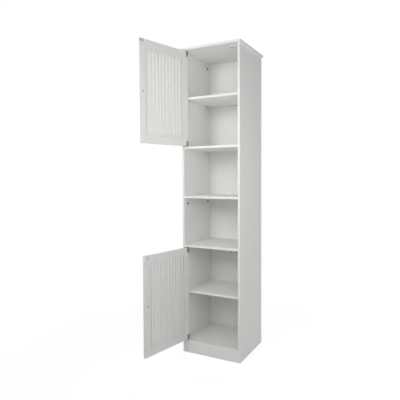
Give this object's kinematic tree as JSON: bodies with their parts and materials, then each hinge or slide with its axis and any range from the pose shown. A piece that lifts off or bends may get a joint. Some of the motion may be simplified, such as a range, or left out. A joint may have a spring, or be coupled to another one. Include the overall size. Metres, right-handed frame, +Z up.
{
  "type": "linen cabinet",
  "caption": "Tall narrow white linen cabinet with slatted inset doors above and below open bays, adjustable shelves on pins, pivot hinges, magnetic catches and a plinth.",
  "frame": {"origin": "on the floor under the middle of the cabinet's front plane, the plane of the side panels' front edges", "axes": "+X to the right as seen from the front, +Y from the front to the back, +Z up"},
  "size_m": [0.4435, 0.6237, 1.7],
  "materials": {
    "white_paint": "satin white paint on fibreboard",
    "back_board_paint": "smooth white-faced thin board",
    "bare_wood": "bare",
    "catch_plastic": "matt pale grey",
    "magnet_nickel": "nickel plated",
    "bush_plastic": "matt",
    "zinc_alloy": "dark dull zinc",
    "bracket_steel": "dark satin",
    "strike_steel": "satin",
    "knob_metal": "satin nickel",
    "plated_steel": "zinc plated"
  },
  "bodies": {
    "carcass": {"bottom_panel": "white_paint", "cam_bolts": "plated_steel", "cam_locks": "zinc_alloy", "catch_pole_plates": "plated_steel", "catch_screws": "plated_steel", "dowels": "bare_wood", "left_side_lower": "white_paint", "left_side_upper": "white_paint", "lower_adjustable_shelf": "white_paint", "lower_back_panel": "back_board_paint", "lower_catch_housing": "catch_plastic", "lower_catch_magnet": "magnet_nickel", "lower_fixed_shelf": "white_paint", "middle_panel": "white_paint", "pivot_bushes": "bush_plastic", "plinth_front": "white_paint", "plinth_left": "white_paint", "plinth_rear": "white_paint", "plinth_right": "white_paint", "right_side_lower": "white_paint", "right_side_upper": "white_paint", "shelf_pins": "plated_steel", "side_screws": "plated_steel", "top_panel": "white_paint", "upper_adjustable_shelf": "white_paint", "upper_back_panel": "back_board_paint", "upper_catch_housing": "catch_plastic", "upper_catch_magnet": "magnet_nickel", "upper_fixed_shelf": "white_paint"},
    "upper_door": {"upper_door_bottom_rail": "white_paint", "upper_door_bracket_screws": "plated_steel", "upper_door_free_stile": "white_paint", "upper_door_hinge_stile": "white_paint", "upper_door_knob": "knob_metal", "upper_door_knob_screw": "bracket_steel", "upper_door_pivot_brackets": "bracket_steel", "upper_door_pivot_pins": "plated_steel", "upper_door_slats": "white_paint", "upper_door_strike_plate": "strike_steel", "upper_door_strike_screw": "plated_steel", "upper_door_top_rail": "white_paint"},
    "lower_door": {"lower_door_bottom_rail": "white_paint", "lower_door_bracket_screws": "plated_steel", "lower_door_free_stile": "white_paint", "lower_door_hinge_stile": "white_paint", "lower_door_knob": "knob_metal", "lower_door_knob_screw": "bracket_steel", "lower_door_pivot_brackets": "bracket_steel", "lower_door_pivot_pins": "plated_steel", "lower_door_slats": "white_paint", "lower_door_strike_plate": "strike_steel", "lower_door_strike_screw": "plated_steel", "lower_door_top_rail": "white_paint"}
  },
  "joints": [
    {"name": "upper_door_hinge", "type": "hinge", "parent": "carcass", "child": "upper_door", "pos_m": [-0.1545, 0.006, 1.424], "axis": [0, 0, 1], "range_deg": [-5.5, 106.5]},
    {"name": "lower_door_hinge", "type": "hinge", "parent": "carcass", "child": "lower_door", "pos_m": [-0.1545, 0.006, 0.334], "axis": [0, 0, 1], "range_deg": [-10.4, 101.6]}
  ]
}
